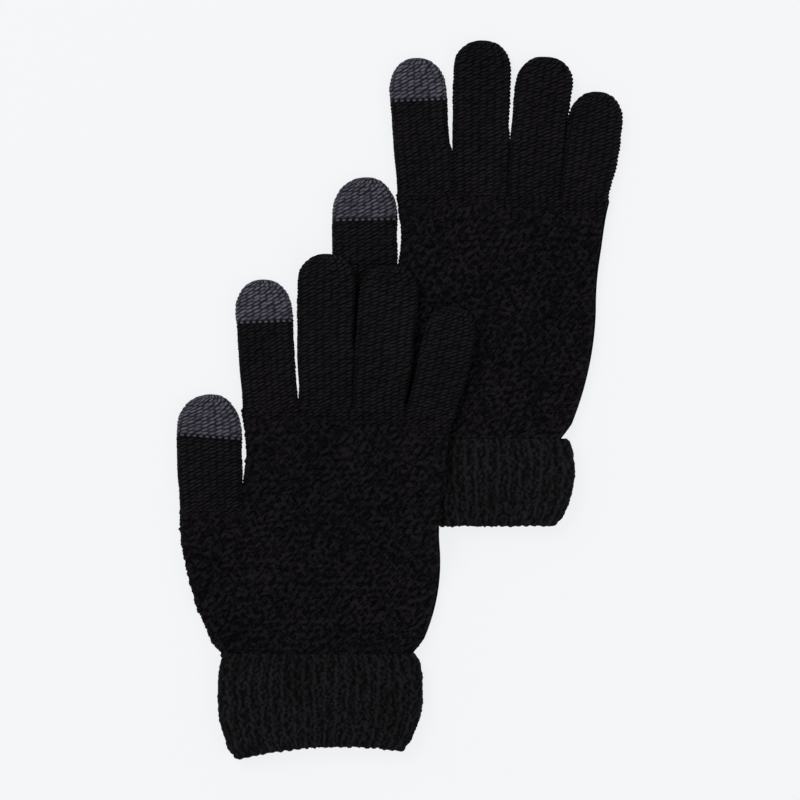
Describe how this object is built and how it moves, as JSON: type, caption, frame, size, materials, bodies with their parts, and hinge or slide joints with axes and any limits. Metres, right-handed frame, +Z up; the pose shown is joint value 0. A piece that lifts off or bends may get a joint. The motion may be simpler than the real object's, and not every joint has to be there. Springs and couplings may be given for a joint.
{
  "type": "touchscreen gloves",
  "caption": "Black knitted gloves with grey conductive thumb and index fingertips and ribbed turned-back cuffs, lying overlapped.",
  "frame": {"origin": "middle of the pair's footprint, on the surface it lies on", "axes": "+Z up from the surface, +Y towards the fingertips, +X to the right seen from above with the thumbs on the left"},
  "size_m": [0.1949, 0.3139, 0.0181],
  "materials": {
    "black_fine_knit": "fine plain knit, matt, slightly fuzzy",
    "black_textured_knit": "coarser textured knit, matt",
    "black_rib_knit": "vertical rib knit, matt",
    "grey_conductive_knit": "grey conductive yarn, fine plain knit",
    "tip_join": "one course where black and grey yarn alternate",
    "elastic_thread": "covered elastic thread"
  },
  "bodies": {
    "under_glove": {"under_hand": "black_textured_knit", "under_cuff_outer": "black_rib_knit", "under_cuff_inner": "black_rib_knit", "under_cuff_elastic": "elastic_thread", "under_thumb": "black_fine_knit", "under_thumb_tip_join": "tip_join", "under_thumb_tip": "grey_conductive_knit"},
    "top_glove": {"top_hand": "black_textured_knit", "top_cuff_outer": "black_rib_knit", "top_cuff_inner": "black_rib_knit", "top_cuff_elastic": "elastic_thread"},
    "under_index": {"under_index_finger": "black_fine_knit", "under_index_tip_join": "tip_join", "under_index_tip": "grey_conductive_knit"},
    "under_middle": {"under_middle_finger": "black_fine_knit"},
    "under_ring": {"under_ring_finger": "black_fine_knit"},
    "under_little": {"under_little_finger": "black_fine_knit"},
    "top_thumb": {"top_thumb": "black_fine_knit", "top_thumb_tip_join": "tip_join", "top_thumb_tip": "grey_conductive_knit"},
    "top_index": {"top_index_finger": "black_fine_knit", "top_index_tip_join": "tip_join", "top_index_tip": "grey_conductive_knit"},
    "top_middle": {"top_middle_finger": "black_fine_knit"},
    "top_ring": {"top_ring_finger": "black_fine_knit"},
    "top_little": {"top_little_finger": "black_fine_knit"}
  },
  "joints": [
    {"name": "top_glove_lift", "type": "slide", "parent": "under_glove", "child": "top_glove", "axis": [0, 0, 1], "range_m": [0, 0.1]},
    {"name": "under_index_fold", "type": "hinge", "parent": "under_glove", "child": "under_index", "pos_m": [0.01144, 0.08992, 0.0068], "axis": [0.9991, 0.0419, 0], "range_deg": [0, 90]},
    {"name": "under_middle_fold", "type": "hinge", "parent": "under_glove", "child": "under_middle", "pos_m": [0.03572, 0.09015, 0.0068], "axis": [0.9997, -0.0244, 0], "range_deg": [0, 90]},
    {"name": "under_ring_fold", "type": "hinge", "parent": "under_glove", "child": "under_ring", "pos_m": [0.05914, 0.08897, 0.0068], "axis": [0.9971, -0.0767, 0], "range_deg": [0, 90]},
    {"name": "under_little_fold", "type": "hinge", "parent": "under_glove", "child": "under_little", "pos_m": [0.08234, 0.0869, 0.0068], "axis": [0.9949, -0.1011, 0], "range_deg": [0, 90]},
    {"name": "top_thumb_fold", "type": "hinge", "parent": "top_glove", "child": "top_thumb", "pos_m": [-0.08226, -0.04865, 0.0068], "axis": [0.9995, 0.0314, 0], "range_deg": [0, 90]},
    {"name": "top_index_fold", "type": "hinge", "parent": "top_glove", "child": "top_index", "pos_m": [-0.05646, -0.00432, 0.0068], "axis": [0.9993, 0.0384, 0], "range_deg": [0, 90]},
    {"name": "top_middle_fold", "type": "hinge", "parent": "top_glove", "child": "top_middle", "pos_m": [-0.03217, -0.00401, 0.0139], "axis": [0.9999, -0.014, 0], "range_deg": [0, 90]},
    {"name": "top_ring_fold", "type": "hinge", "parent": "top_glove", "child": "top_ring", "pos_m": [-0.00874, -0.0049, 0.0139], "axis": [0.998, -0.0628, 0], "range_deg": [0, 90]},
    {"name": "top_little_fold", "type": "hinge", "parent": "top_glove", "child": "top_little", "pos_m": [0.01433, -0.00782, 0.0139], "axis": [0.9823, -0.1874, 0], "range_deg": [0, 90]}
  ]
}
